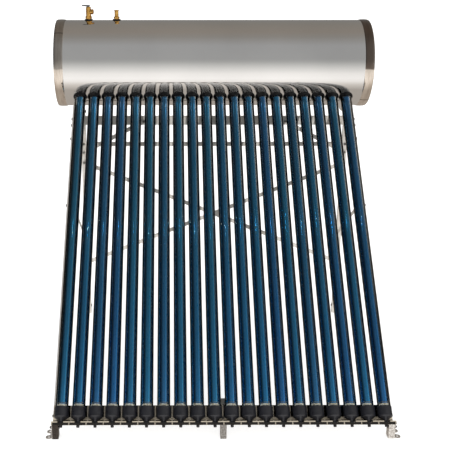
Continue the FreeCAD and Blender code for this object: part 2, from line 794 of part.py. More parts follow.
def main():
    os.makedirs("parts", exist_ok=True)
    bolts = frame_bolt_list()
    pieces = {
        "outer_shell": outer_shell(),
        "end_cover_left": end_cover(-1),
        "end_cover_right": end_cover(1),
        "end_bands": [end_band(-1), end_band(1)],
        "insulation_foam": insulation_foam(),
        "inner_tank": inner_tank(),
        "tank_sockets": tank_sockets(),
        "heat_pipe_sleeves": heat_pipe_sleeves(),
        "anode_rod": anode_rod(),
        "port_grommets": port_grommets(),
        "water_nipples": water_nipples(),
        "valve_body": valve_body(),
        "valve_bonnet": valve_bonnet(),
        "valve_stem": valve_stem(),
        "valve_probe": valve_probe(),
        "valve_spring": valve_spring(),
        "valve_lever": valve_lever(),
        "lever_pin": lever_pin(),
        "absorber_tubes": absorber_tubes(),
        "heat_pipes": heat_pipes(),
        "heat_fins": heat_fins(),
        "tube_seals": tube_seals(),
        "tube_cups": tube_cups(),
        "cup_nuts": cup_nuts(),
    }
    for number, x in enumerate(tube_xs, 1):
        pieces["vacuum_tube_%02d" % number] = vacuum_tube(x)
    frame = {
        "tail_rail": tail_rail(),
        "front_rail_left": front_rail(-1),
        "front_rail_right": front_rail(1),
        "tank_cradle_left": tank_cradle(-1),
        "tank_cradle_right": tank_cradle(1),
        "rear_leg_left": rear_leg(left_leg_x),
        "rear_leg_right": rear_leg(right_leg_x),
        "upper_cross_bar": cross_bar(bar_top, bar_height, 14),
        "lower_cross_bar": cross_bar(tie_top, tie_height, 8),
        "back_braces": [flat_strap(ends) for ends in back_brace_ends],
        "knee_braces": [flat_strap(ends) for ends in knee_ends],
        "side_braces": [side_brace(-1), side_brace(1)],
        "front_feet": front_feet(),
        "foot_plates": foot_plates(),
    }
    for name, shape in frame.items():
        parts = shape if isinstance(shape, list) else [shape]
        pieces[name] = [drilled(part, bolts) for part in parts]
    pieces["frame_bolts"] = [bolt.solid() for bolt in bolts]
    spacers = [drilled(washer, bolts) for washer in strap_washers()]
    pieces["frame_nuts"] = [bolt.nut_solid() for bolt in bolts] + spacers
    total = FreeCAD.BoundBox()
    for name, shape in pieces.items():
        total.add(export(name, shape))
    print("box", total)


main()
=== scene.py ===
"""Looks of the evacuated-tube solar water heater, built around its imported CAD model.

Metres, in the CAD model's frame: +X along the tank, -Y towards the lower ends of the
tubes, +Z up.  Places are worked out from the boxes of the CAD nodes.
"""
import bpy
import bmesh
import json
import math
from mathutils import Matrix, Vector


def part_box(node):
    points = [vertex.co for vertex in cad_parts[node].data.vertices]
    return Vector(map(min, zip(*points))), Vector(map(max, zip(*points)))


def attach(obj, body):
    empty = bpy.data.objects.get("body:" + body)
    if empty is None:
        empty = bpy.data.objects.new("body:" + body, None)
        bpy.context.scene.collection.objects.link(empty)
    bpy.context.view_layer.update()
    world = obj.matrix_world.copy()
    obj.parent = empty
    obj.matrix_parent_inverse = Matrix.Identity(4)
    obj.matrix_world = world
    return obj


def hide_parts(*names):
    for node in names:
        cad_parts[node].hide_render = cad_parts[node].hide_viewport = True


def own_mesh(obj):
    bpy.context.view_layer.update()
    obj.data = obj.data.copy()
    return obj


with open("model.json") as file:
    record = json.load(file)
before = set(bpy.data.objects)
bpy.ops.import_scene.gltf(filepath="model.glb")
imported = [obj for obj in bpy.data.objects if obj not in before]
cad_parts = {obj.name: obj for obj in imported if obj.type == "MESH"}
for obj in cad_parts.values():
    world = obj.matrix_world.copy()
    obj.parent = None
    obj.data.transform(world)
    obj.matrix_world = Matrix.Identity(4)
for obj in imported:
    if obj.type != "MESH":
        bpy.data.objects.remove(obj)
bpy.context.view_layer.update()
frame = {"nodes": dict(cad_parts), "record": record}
nodes = frame["nodes"]

MM = 0.001
BODY = "heater"                                 # every piece here is fixed to it
WHITE = (1, 1, 1)
BLACK = (0, 0, 0)

# ---- places read from the frame -----------------------------------------------------
TUBES = sorted(name for name in nodes if name.startswith("vacuum_tube_"))


def middle(node):
    low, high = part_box(node)
    return (low + high) / 2


tank_low, tank_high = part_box("outer_shell")
TANK = middle("outer_shell")
SHELL_RADIUS = (tank_high.z - tank_low.z) / 2
AXIS = Vector((0, TANK.y, TANK.z))              # the tank's axis, at X = 0
TUBE_XS = [middle(name).x for name in TUBES]
PITCH = TUBE_XS[1] - TUBE_XS[0]
glass_low, glass_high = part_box(TUBES[0])
GLASS_RADIUS = (glass_high.x - glass_low.x) / 2
DOME = Vector((0, glass_low.y + GLASS_RADIUS, glass_low.z + GLASS_RADIUS))
DOWN = (DOME - AXIS).normalized()               # down the tubes
SUNNY = Vector((0, DOWN.z, -DOWN.y))            # square to the tubes, towards the sun
ORIGIN = AXIS.dot(DOWN)                         # the tank axis, measured along DOWN

# s is the distance down the tubes from the tank's axis
DOME_S = (DOME - AXIS).length                   # centre of a tube's round end
SEAT_S = DOME_S + 51 * MM                       # seat of the tail rail
ABSORBER_RADIUS = 23.5 * MM
absorber_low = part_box("absorber_tubes")[0]
ABSORBER_END = (Vector((0, absorber_low.y, absorber_low.z))
                + Vector((0, ABSORBER_RADIUS, ABSORBER_RADIUS)) - AXIS).length

BAND_JOINTS = {"left": 49, "right": -50}        # degrees above the tank's front
CAMERA = Vector((-0.239, -4.128, 2.057))


def on_tube(x, s):
    """A point s down the line of the tube at x."""
    return Vector((x, TANK.y, TANK.z)) + DOWN * s


# ---- node trees ---------------------------------------------------------------------
def grey(level):
    return (level, level, level)


def mixed(colour, share, other=BLACK):
    """A colour with a share of another in it."""
    return tuple(a * (1 - share) + b * share for a, b in zip(colour, other))


class Graph:
    """A node tree, emptied, with short ways to add to it."""

    def __init__(self, tree):
        self.tree = tree
        self.tree.nodes.clear()

    def link(self, source, target):
        self.tree.links.new(source, target)

    def node(self, kind, inputs=None, **settings):
        made = self.tree.nodes.new(kind)
        for key, value in settings.items():
            setattr(made, key, value)
        for key, value in (inputs or {}).items():
            if isinstance(value, bpy.types.NodeSocket):
                self.link(value, made.inputs[key])
            else:
                made.inputs[key].default_value = value
        return made

    def math(self, operation, *values):
        return self.node("ShaderNodeMath", dict(enumerate(values)), operation=operation).outputs[0]

    def ranged(self, value, start, end, low=0.0, high=1.0):
        """A value between start and end moved to the range low to high."""
        inputs = {"Value": value, "From Min": start, "From Max": end, "To Min": low, "To Max": high}
        return self.node("ShaderNodeMapRange", inputs).outputs["Result"]

    def stripe(self, value, centre, zero, one):
        """0 at a distance of zero from centre, 1 at a distance of one, and clamped past both."""
        off = self.math("ABSOLUTE", self.math("SUBTRACT", value, centre))
        return self.ranged(off, zero, one)

    def ramp(self, fac, stops, low=0.0, high=1.0):
        """A colour from stops whose places run from low to high, where fac runs 0 to 1."""
        made = self.node("ShaderNodeValToRGB", {"Fac": fac})
        elements = made.color_ramp.elements
        while len(elements) < len(stops):
            elements.new(1.0)
        for element, (place, colour) in zip(elements, stops):
            element.position = (place - low) / (high - low)
            element.color = (*colour, 1.0)
        return made.outputs["Color"]

    def blend(self, share, a, b, kind="MIX"):
        inputs = {0: share, 6: a, 7: b}         # the colour sockets of a Mix node
        return self.node("ShaderNodeMix", inputs, data_type="RGBA", blend_type=kind).outputs[2]

    def times(self, a, b):
        """One colour multiplied by another."""
        return self.blend(1.0, a, b, "MULTIPLY")

    def mixed_shader(self, share, a, b):
        inputs = {0: share, 1: a.outputs[0], 2: b.outputs[0]}
        return self.node("ShaderNodeMixShader", inputs).outputs[0]


class Look(Graph):
    """A node material around one Principled shader."""

    def __init__(self, name, **inputs):
        self.material = bpy.data.materials.new(name)
        self.material.use_nodes = True
        super().__init__(self.material.node_tree)
        self.output = self.node("ShaderNodeOutputMaterial")
        self.shader = self.node("ShaderNodeBsdfPrincipled", inputs)
        self.surface(self.shader.outputs[0])
        self.where = self.node("ShaderNodeTexCoord").outputs["Object"]

    def surface(self, shader):
        self.link(shader, self.output.inputs["Surface"])

    def axes(self):
        return self.node("ShaderNodeSeparateXYZ", {"Vector": self.where}).outputs

    def down_tube(self):
        """How far down the tubes a point lies: s plus ORIGIN."""
        inputs = {0: self.where, 1: DOWN}
        return self.node("ShaderNodeVectorMath", inputs, operation="DOT_PRODUCT").outputs["Value"]

    def stretched(self, x, y, z):
        """Object coordinates scaled per axis, so that a noise becomes streaks."""
        inputs = {"Vector": self.where, "Scale": (x, y, z)}
        return self.node("ShaderNodeMapping", inputs).outputs[0]

    def noise(self, scale, detail=3.0, rough=0.5, where=None):
        inputs = {"Vector": where or self.where, "Scale": scale, "Detail": detail,
                  "Roughness": rough}
        return self.node("ShaderNodeTexNoise", inputs).outputs["Fac"]

    def spread(self, noise, low, high):
        """A noise, which mostly stays between 0.3 and 0.7, moved to the range low to high."""
        return self.ranged(noise, 0.3, 0.7, low, high)

    def bump(self, height, strength, distance, normal=None):
        inputs = {"Height": height, "Strength": strength, "Distance": distance}
        if normal:
            inputs["Normal"] = normal
        return self.node("ShaderNodeBump", inputs).outputs["Normal"]

    def set(self, key, value):
        if isinstance(value, bpy.types.NodeSocket):
            self.link(value, self.shader.inputs[key])
        else:
            self.shader.inputs[key].default_value = value


# ---- materials ----------------------------------------------------------------------
def steel(name, colour, rough, lines, wave, metal=1.0):
    """Stainless sheet: rolling lines along X, slow waves, and faint smudges."""
    look = Look(name, Metallic=metal)
    smudge = look.noise(2.2, 4.0)
    look.set("Base Color", look.ramp(smudge, [(0.35, mixed(colour, 0.07)), (0.65, colour)]))
    streak = look.noise(1.0, 2.0, where=look.stretched(1.5, 420, 420))
    look.set("Roughness", look.spread(streak, rough * 0.8, rough * 1.25))
    slow = look.bump(look.noise(3.0, 1.0), wave, 4 * MM)
    look.set("Normal", look.bump(streak, lines, 0.2 * MM, slow))
    return look.material


def band_steel():
    """Clamp band: pale and mirror-like low down, with painted shade above the middle that stands in
    for the darker surroundings it mirrors.
    """
    look = Look("end_band_steel", Metallic=1.0)
    axes = look.axes()
    # painted shade above the middle, standing in for the darker surroundings the band mirrors;
    # paler on the left band than on the right one
    ragged = look.math("ADD", axes["Z"], look.math("MULTIPLY", look.noise(25.0), 12 * MM))
    high = look.ranged(ragged, TANK.z - 2 * MM, TANK.z + 6 * MM)
    side = look.ranged(axes["X"], -0.1, 0.1)
    painted_upper_shade = look.ramp(side, [(0.0, (0.56, 0.57, 0.58)), (1.0, (0.25, 0.22, 0.21))])
    shade = look.blend(high, (*WHITE, 1), painted_upper_shade)
    smudge = look.noise(9.0, 5.0, 0.6, look.stretched(6, 1, 1))
    base = look.ramp(smudge, [(0.35, (0.68, 0.60, 0.52)), (0.62, (0.86, 0.78, 0.69))])
    # a dark line where the strip laps over itself
    forward = look.math("SUBTRACT", TANK.y, axes["Y"])
    angle = look.math("ARCTAN2", look.math("SUBTRACT", axes["Z"], TANK.z), forward)
    joint = look.ranged(side, 0.0, 1.0, math.radians(BAND_JOINTS["left"]),
                        math.radians(BAND_JOINTS["right"]))
    line = look.stripe(angle, joint, math.radians(0.3), math.radians(0.9))
    seam = look.ramp(line, [(0.0, (0.22, 0.2, 0.19)), (1.0, WHITE)])
    look.set("Base Color", look.times(look.times(base, shade), seam))
    look.set("Roughness", look.spread(smudge, 0.09, 0.045))
    look.set("Normal", look.bump(look.noise(11.0, 2.0), 0.12, 4 * MM))
    return look.material


def sheet_steel(name, colour, rough, wave, metal=0.55):
    """Folded frame sheet: buckled enough to break reflections up, with scuffs."""
    look = Look(name, Metallic=metal)
    grime = (0.2, 0.16, 0.12)
    scuff = look.noise(38.0, 5.0, 0.65)
    look.set("Base Color", look.ramp(scuff, [(0.32, mixed(colour, 0.3, grime)), (0.6, colour)]))
    look.set("Roughness", look.spread(scuff, rough * 1.5, rough * 0.7))
    look.set("Normal", look.bump(look.noise(16.0, 2.0), wave, 3 * MM))
    return look.material


def rail_steel():
    """Tail rail: dark mirror faces with pale stripes between the cups, both painted reflections:
    the dark stands in for the black cups and their shade mirrored in the rail, the pale stripes for
    the light seen between the cups.

    One stripe runs along the rail above its seat, one along the seat's rim, and a short
    one stands in the middle of each gap between two cups.
    """
    look = Look("rail_stainless")
    scuff = look.noise(60.0, 4.0, 0.6)
    depth = look.math("ADD", look.down_tube(), look.math("MULTIPLY", scuff, 2 * MM))
    steps = look.math("SUBTRACT", look.axes()["X"], TUBE_XS[0] - PITCH)
    place = look.math("FRACT", look.math("DIVIDE", steps, PITCH))
    gap = look.math("ABSOLUTE", look.math("SUBTRACT", place, 0.5))      # 0 in a gap's middle
    seat = ORIGIN + SEAT_S
    band = look.stripe(depth, seat - 26.5 * MM, 7.5 * MM, 6 * MM)
    rim = look.math("MULTIPLY", look.stripe(depth, seat + 2.5 * MM, 4.5 * MM, 3.5 * MM),
                    look.ranged(gap, 0.34, 0.31))
    upright = look.ranged(gap, 0.04, 0.02)
    # painted reflection: the pale stripes stand in for the light mirrored between the cups, the
    # dark faces for the mirrored black cups and their shade
    pale = look.math("MAXIMUM", band, look.math("MULTIPLY", rim, 0.7))
    pale = look.math("MAXIMUM", pale, look.math("MULTIPLY", upright, 0.6))
    look.set("Metallic", look.math("SUBTRACT", 1.0, pale))
    painted_reflections = look.ramp(pale, [(0.0, (0.085, 0.08, 0.075)), (1.0, (0.93, 0.83, 0.67))])
    wear = look.ramp(scuff, [(0.35, (0.8, 0.78, 0.74)), (0.6, WHITE)])
    look.set("Base Color", look.times(painted_reflections, wear))
    look.set("Roughness", look.spread(scuff, 0.10, 0.04))
    look.set("Normal", look.bump(scuff, 0.05, 2 * MM))
    return look.material


def speckled_steel(name, pale, dark, light_across):
    """Hot-dipped sheet: a fine spangle of paler and darker grains.

    The last argument gives the stops of painted light and shade that change from the first tube to
    the last.
    """
    look = Look(name, Metallic=0.85)
    spangle = look.noise(150.0, 4.0, 0.7)
    grains = look.ramp(spangle, [(0.38, dark), (0.62, pale)])
    # painted light and shade across the row of feet
    across = look.ranged(look.axes()["X"], TUBE_XS[0], TUBE_XS[-1])
    look.set("Base Color", look.times(grains, look.ramp(across, light_across)))
    look.set("Roughness", look.spread(spangle, 0.45, 0.24))
    look.set("Normal", look.bump(spangle, 0.2, 0.6 * MM))
    return look.material


def rubber(name, colour, rough):
    """Matt rubber with a fine speckle and a little pale dust."""
    look = Look(name)
    dust = look.noise(45.0, 4.0)
    dusty = mixed(colour, 0.03, (0.5, 0.48, 0.44))
    look.set("Base Color", look.ramp(dust, [(0.4, colour), (0.75, dusty)]))
    look.set("Specular IOR Level", 0.12)
    look.set("Roughness", look.spread(dust, rough * 0.85, min(1.0, rough * 1.2)))
    look.set("Normal", look.bump(look.noise(900.0, 2.0), 0.15, 0.3 * MM))
    return look.material


def moulded(name, colour, rough):
    """Moulded plastic with a fine spark texture."""
    look = Look(name)
    wear = look.noise(60.0, 4.0)
    worn = mixed(colour, 0.012, (0.4, 0.4, 0.42))
    look.set("Base Color", look.ramp(wear, [(0.38, mixed(colour, 0.2)), (0.7, worn)]))
    look.set("Roughness", look.spread(wear, rough * 0.85, rough * 1.15))
    look.set("Normal", look.bump(look.noise(1400.0, 2.0), 0.2, 0.3 * MM))
    look.set("Specular IOR Level", 0.6)
    return look.material


def cast_metal(name, colour, dark, rough):
    """Turned or forged metal with tarnish in the low spots."""
    look = Look(name, Metallic=1.0)
    tarnish = look.noise(70.0, 5.0, 0.6)
    look.set("Base Color", look.ramp(tarnish, [(0.34, dark), (0.58, colour)]))
    look.set("Roughness", look.spread(tarnish, rough * 1.4, rough * 0.8))
    look.set("Normal", look.bump(look.noise(260.0), 0.25, 0.4 * MM))
    return look.material


def clear_glass():
    """Thin borosilicate wall: seen through, it shines only as steeply as glass does."""
    look = Look("borosilicate_glass")
    haze = look.noise(6.0, 4.0)
    tint = look.ramp(haze, [(0.3, (0.93, 0.955, 0.955)), (0.7, (0.965, 0.98, 0.98))])
    clear = look.node("ShaderNodeBsdfTransparent", {"Color": tint})
    shine = look.node("ShaderNodeFresnel", {"IOR": 1.28}).outputs[0]
    mirror = look.node("ShaderNodeBsdfGlossy", {"Color": (*WHITE, 1)})
    look.link(look.spread(haze, 0.06, 0.08), mirror.inputs["Roughness"])
    look.tree.nodes.remove(look.shader)
    look.surface(look.mixed_shader(shine, clear, mirror))
    return look.material


def selective_coating():
    """Sputtered absorber: a dark blue mirror whose tint differs a little from tube to tube.

    It grows paler towards the lower end.
    """
    look = Look("absorber_film", Metallic=1.0)
    steps = look.math("SUBTRACT", look.axes()["X"], TUBE_XS[0] - PITCH / 2)
    number = look.math("FLOOR", look.math("DIVIDE", steps, PITCH))
    pick = look.node("ShaderNodeTexWhiteNoise", {"W": number}, noise_dimensions="1D")
    tint = look.ramp(pick.outputs["Value"],
                     [(0.0, (0.012, 0.205, 0.41)), (0.3, (0.010, 0.187, 0.42)),
                      (0.55, (0.013, 0.205, 0.39)), (0.8, (0.012, 0.166, 0.41)),
                      (1.0, (0.020, 0.185, 0.37))])
    cloud = look.noise(1.0, 1.0, where=look.stretched(14, 1.2, 1.2))
    shade = look.ramp(cloud, [(0.3, grey(0.95)), (0.7, grey(1.04))])
    paling_from = 1.15                            # s where it starts to grow paler
    low_end = look.ranged(look.down_tube(), ORIGIN + paling_from, ORIGIN + DOME_S)
    pale = look.ramp(low_end, [(0.0, WHITE), (0.55, (1.3, 1.1, 1.15)), (0.85, (2.2, 1.4, 1.45)),
                               (1.0, (4.0, 1.8, 1.8))])
    look.set("Base Color", look.times(look.times(tint, shade), pale))
    look.set("Roughness", look.spread(cloud, 0.07, 0.09))
    return look.material


def getter_mirror(first_s, full_s):
    """Barium film: clear at first_s, it thickens to an opaque mirror by full_s."""
    look = Look("getter_mirror", Metallic=0.45)
    film = look.noise(160.0)
    metal = [(0.35, (0.50, 0.42, 0.30)), (0.62, (0.95, 0.92, 0.84))]
    look.set("Base Color", look.ramp(film, metal))
    look.set("Roughness", look.spread(film, 0.08, 0.22))
    ragged = look.math("ADD", look.down_tube(), look.math("MULTIPLY", film, 6 * MM))
    cover = look.ranged(ragged, ORIGIN + first_s, ORIGIN + full_s)
    clear = look.node("ShaderNodeBsdfTransparent")
    look.surface(look.mixed_shader(cover, clear, look.shader))
    return look.material


def paint_nodes():
    """Give every CAD node its material."""
    looks = {
        steel("polished_shell", (0.89, 0.885, 0.875), rough=0.055, lines=0.02, wave=0.02):
            ["outer_shell"],
        band_steel(): ["end_bands"],
        steel("end_cover_steel", (0.80, 0.79, 0.77), rough=0.36, lines=0.05, wave=0.08, metal=0.55):
            ["end_cover_left", "end_cover_right"],
        rubber("polyurethane_foam", (0.83, 0.72, 0.42), rough=0.9): ["insulation_foam"],
        sheet_steel("welded_vessel_steel", grey(0.60), rough=0.4, wave=0.1):
            ["inner_tank", "tank_sockets", "heat_pipe_sleeves"],
        cast_metal("cast_magnesium", (0.62, 0.63, 0.64), grey(0.4), rough=0.5): ["anode_rod"],
        rubber("grommet_compound", grey(0.008), rough=0.4): ["port_grommets"],
        cast_metal("yellow_brass", (0.90, 0.53, 0.15), (0.50, 0.25, 0.05), rough=0.16):
            ["water_nipples", "valve_body", "valve_bonnet"],
        cast_metal("spring_steel", (0.62, 0.62, 0.60), (0.40, 0.39, 0.38), rough=0.3):
            ["valve_stem", "valve_spring", "lever_pin"],
        cast_metal("drawn_copper", (0.90, 0.48, 0.32), (0.45, 0.22, 0.15), rough=0.28):
            ["valve_probe", "heat_pipes"],
        moulded("grey_lever_paint", grey(0.10), rough=0.35): ["valve_lever"],
        selective_coating(): ["absorber_tubes"],
        cast_metal("rolled_aluminium", grey(0.82), grey(0.6), rough=0.35): ["heat_fins"],
        rubber("seal_silicone", (0.003, 0.003, 0.004), rough=0.2): ["tube_seals"],
        moulded("ribbed_cup_plastic", (0.014, 0.015, 0.021), rough=0.32): ["tube_cups", "cup_nuts"],
        clear_glass(): TUBES,
        rail_steel(): ["tail_rail"],
        sheet_steel("side_channel_sheet", (0.93, 0.90, 0.86), rough=0.05, wave=0.03, metal=0.4):
            ["front_rail_left", "front_rail_right"],
        sheet_steel("folded_stainless", (0.86, 0.83, 0.78), rough=0.03, wave=0.03):
            ["tank_cradle_left", "tank_cradle_right", "rear_leg_left", "rear_leg_right",
             "upper_cross_bar", "lower_cross_bar", "back_braces", "knee_braces", "side_braces"],
        # front feet: painted shade on the left ones and painted light, brighter than white, on the
        # right ones
        speckled_steel("spangled_foot_steel", (0.74, 0.72, 0.68), (0.30, 0.27, 0.25),
                       [(0.1, (0.11, 0.095, 0.085)), (0.3, grey(0.55)), (0.7, grey(0.6)),
                        (0.9, grey(1.3))]): ["front_feet"],
        speckled_steel("foot_plate_steel", (0.80, 0.77, 0.73), (0.50, 0.46, 0.42),
                       [(0.1, WHITE), (0.9, WHITE)]): ["foot_plates"],
        cast_metal("blackened_steel", (0.20, 0.19, 0.18), (0.07, 0.065, 0.06), rough=0.35):
            ["frame_bolts", "frame_nuts"],
    }
    for material, names in looks.items():
        for name in names:
            for place in nodes[name].material_slots:
                place.material = material


# ---- mesh helpers -------------------------------------------------------------------
def frame_of(axis):
    """A rotation that turns +Z onto axis."""
    return Vector((0, 0, 1)).rotation_difference(Vector(axis)).to_matrix().to_4x4()


def tube_frame(x, s=0.0):
    """The tube at x: its +Z runs down the tube, from s."""
    return Matrix.Translation(on_tube(x, s)) @ frame_of(DOWN)


def lathe(bm, profile, place, segments, ribs=None, closed=False):
    """Turn (height, radius) points about +Z, then move them with the matrix place.

    ribs(k, height), where it is given, is added to the radius at segment k.  A closed
    profile joins its last point to its first; any other gets flat ends.
    """
    rings = []
    for height, radius in profile:
        ring = []
        for k in range(segments):
            angle = 2 * math.pi * k / segments
            r = radius + (ribs(k, height) if ribs else 0.0)
            point = Vector((r * math.cos(angle), r * math.sin(angle), height))
            ring.append(bm.verts.new(place @ point))
        rings.append(ring)
    join(bm, rings, closed)


def join(bm, rings, closed=False):
    """Faces between rings of points, and over the first and last one unless closed."""
    pairs = list(zip(rings, rings[1:]))
    if closed:
        pairs.append((rings[-1], rings[0]))
    for low, high in pairs:
        for k in range(len(low)):
            n = (k + 1) % len(low)
            bm.faces.new((low[k], low[n], high[n], high[k]))
    if not closed:
        bm.faces.new(list(reversed(rings[0])))
        bm.faces.new(rings[-1])


def torus_profile(radius, thick, points):
    """Closed (height, radius) profile of a ring with a round section."""
    return [(thick * math.sin(2 * math.pi * k / points),
             radius + thick * math.cos(2 * math.pi * k / points)) for k in range(points)]


def dome(radius, end):
    """Points of a round closed end, from its rim to just short of its pole."""
    points = 9
    last = math.acos(0.4 * MM / radius)
    return [(end + radius * math.sin(last * k / points), radius * math.cos(last * k / points))
            for k in range(points + 1)]


def piece(name, bm, like, material=None):
    """Finish a mesh as a piece that rides on the heater and has the finish of a CAD node."""
    bmesh.ops.recalc_face_normals(bm, faces=bm.faces)
    mesh = bpy.data.meshes.new(name)
    bm.to_mesh(mesh)
    bm.free()
    mesh.materials.append(material or nodes[like].material_slots[0].material)
    made = bpy.data.objects.new(name, mesh)
    bpy.context.scene.collection.objects.link(made)
    mesh.polygons.foreach_set("use_smooth", [True] * len(mesh.polygons))
    mesh.set_sharp_from_angle(angle=math.radians(35))
    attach(made, BODY)
    return made


# ---- camera, floor and light --------------------------------------------------------
def add_camera():
    data = bpy.data.cameras.new("camera")
    data.sensor_width = 36.0
    data.lens = 68.5
    data.shift_x = 0.1165
    data.clip_end = 500.0
    camera = bpy.data.objects.new("camera", data)
    bpy.context.scene.collection.objects.link(camera)
    camera.location = CAMERA
    camera.rotation_euler = (math.radians(72.0), 0, math.radians(-0.27))
    bpy.context.scene.camera = camera


def add_floor():
    """A pale floor that reaches past the view, just under the feet."""
    bm = bmesh.new()
    bmesh.ops.create_grid(bm, x_segments=2, y_segments=2, size=150)
    mesh = bpy.data.meshes.new("floor")
    bm.to_mesh(mesh)
    bm.free()
    floor = bpy.data.objects.new("floor", mesh)
    bpy.context.scene.collection.objects.link(floor)
    look = Look("pale_floor", Roughness=0.9)
    clouds = look.noise(0.6, 2.0)
    look.set("Base Color", look.ramp(clouds, [(0.3, grey(0.60)), (0.7, grey(0.62))]))
    look.set("Emission Color", (*WHITE, 1))
    look.set("Emission Strength", 0.75)
    mesh.materials.append(look.material)
    floor.visible_glossy = False
    floor.location.z = -0.5 * MM


def add_world():
    """A soft studio: plain white light, with grey walls that only reflections show."""
    # degrees above the horizon in front (-Y), over the top to 180 behind
    walls = [(-180, (0.34, 0.31, 0.28)), (-150, (0.40, 0.36, 0.32)), (-70, (0.44, 0.40, 0.36)),
             (-54, (0.70, 0.65, 0.60)), (-43, (0.98, 0.94, 0.90)), (-35, (1.06, 1.03, 1.0)),
             (-22, (0.98, 0.95, 0.92)), (-6, (0.70, 0.69, 0.67)), (10, (0.42, 0.42, 0.41)),
             (17, (0.36, 0.36, 0.357)), (54, (0.35, 0.35, 0.35)), (80, (0.27, 0.255, 0.235)),
             (97, (0.265, 0.235, 0.205)), (130, (0.24, 0.22, 0.195)),
             (165, (0.22, 0.215, 0.205)), (180, (0.34, 0.31, 0.28))]
    # brightness from straight left (-1) to straight right (1), above the horizon
    light_across = [(-1.0, grey(0.05)), (-0.9, grey(0.06)), (-0.78, (0.25, 0.25, 0.26)),
             (-0.5, (0.55, 0.55, 0.56)), (-0.2, grey(1)), (0.26, grey(1)), (0.5, grey(1.2)),
             (0.68, grey(2.0)), (0.84, grey(2.0)), (0.91, grey(0.5)), (0.95, grey(0.06)),
             (1.0, grey(0.05))]
    world = bpy.data.worlds.new("studio")
    bpy.context.scene.world = world
    world.use_nodes = True
    graph = Graph(world.node_tree)
    where = graph.node("ShaderNodeTexCoord").outputs["Generated"]
    axes = graph.node("ShaderNodeSeparateXYZ", {"Vector": where}).outputs
    ahead = graph.math("MULTIPLY", axes["Y"], -1.0)
    angle = graph.math("ARCTAN2", axes["Z"], ahead)
    around = graph.ramp(graph.ranged(angle, -math.pi, math.pi), walls, -180, 180)
    across = graph.ramp(graph.ranged(axes["X"], -1.0, 1.0), light_across, -1, 1)
    above = graph.ranged(axes["Z"], -0.15, 0.06)
    seen = graph.node("ShaderNodeBackground",
                      {"Color": graph.blend(above, around, across, "MULTIPLY")})
    soft = graph.node("ShaderNodeBackground", {"Color": (1, 0.995, 0.985, 1), "Strength": 1.0})
    plain = graph.math("SUBTRACT", 1.0, graph.node("ShaderNodeLightPath").outputs["Is Glossy Ray"])
    graph.node("ShaderNodeOutputWorld", {"Surface": graph.mixed_shader(plain, seen, soft)})


def mirrored(point, turn):
    """The way to what the camera sees mirrored at a point of a tube.

    turn is how far round the tube its surface faces there, in radians from SUNNY.
    """
    sight = (CAMERA - point).normalized()
    normal = SUNNY * math.cos(turn) + Vector((math.sin(turn), 0, 0))
    return 2 * normal.dot(sight) * normal - sight


def add_lights(tubes):
    """Lamps that shine on the tubes only, and that the tubes mirror to the camera.

    Two far softboxes, one to each side, brighten the tubes below the seals.  A small lamp
    makes the glints half way down.
    """
    streak_s = 0.28                             # where the softboxes' front edges are mirrored
    glint_s = 1.167                             # where the small lamp is mirrored
    softbox_away = 24
    glint_away = 8
    receivers = bpy.data.collections.new("tube_lamp_receivers")
    for made in tubes:
        receivers.objects.link(made)
    edge = on_tube(0, streak_s)
    for name, turn, energy in (("left_softbox", -0.28, 170), ("right_softbox", 0.28, 330)):
        data = bpy.data.lights.new(name, "AREA")
        data.shape = "RECTANGLE"
        data.size = 4.5
        data.size_y = 5.0
        data.energy = energy
        softbox = bpy.data.objects.new(name, data)
        bpy.context.scene.collection.objects.link(softbox)
        front = edge + mirrored(edge, turn) * softbox_away
        softbox.location = front + Vector((0, data.size_y / 2, 0))
        softbox.visible_camera = False
        softbox.light_linking.receiver_collection = receivers
        softbox.light_linking.blocker_collection = receivers
    spot = bpy.data.lights.new("tube_glint", "SPOT")
    spot.energy = 9
    spot.shadow_soft_size = 0.09
    spot.spot_size = math.radians(14)
    spot.spot_blend = 0.15
    glint = bpy.data.objects.new("tube_glint", spot)
    bpy.context.scene.collection.objects.link(glint)
    aim = on_tube(0.02, glint_s)
    glint.location = aim + mirrored(aim, 0) * glint_away
    glint.rotation_euler = (aim - glint.location).to_track_quat("-Z", "Y").to_euler()
    glint.light_linking.receiver_collection = receivers


# ---- pieces with more detail than their CAD solids ----------------------------------
def add_glass():
    """Smooth glass, one piece to a tube: outer wall, closed lip, inner face and round end."""
    wall = 1.8 * MM
    top = 188 * MM
    lip = 24 * MM
    inner = GLASS_RADIUS - wall
    profile = (list(reversed(dome(inner, DOME_S)))
               + [(top + wall, inner), (top + wall, lip), (top, lip), (top, inner),
                  (top + wall, GLASS_RADIUS)] + dome(GLASS_RADIUS, DOME_S))
    made = []
    for name, x in zip(TUBES, TUBE_XS):
        bm = bmesh.new()
        lathe(bm, profile, tube_frame(x), 72)
        glass = piece(name.replace("vacuum", "glass"), bm, name)
        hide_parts(name)
        made.append(glass)
    return made


def add_absorbers():
    """Smooth coated inner tubes with their round ends."""
    top = 190 * MM
    profile = ([(top, 0.9 * ABSORBER_RADIUS), (top + 1 * MM, ABSORBER_RADIUS)]
               + dome(ABSORBER_RADIUS, ABSORBER_END))
    bm = bmesh.new()
    for x in TUBE_XS:
        lathe(bm, profile, tube_frame(x), 72)
    absorbers = piece("smooth_absorbers", bm, "absorber_tubes")
    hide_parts("absorber_tubes")
    return absorbers


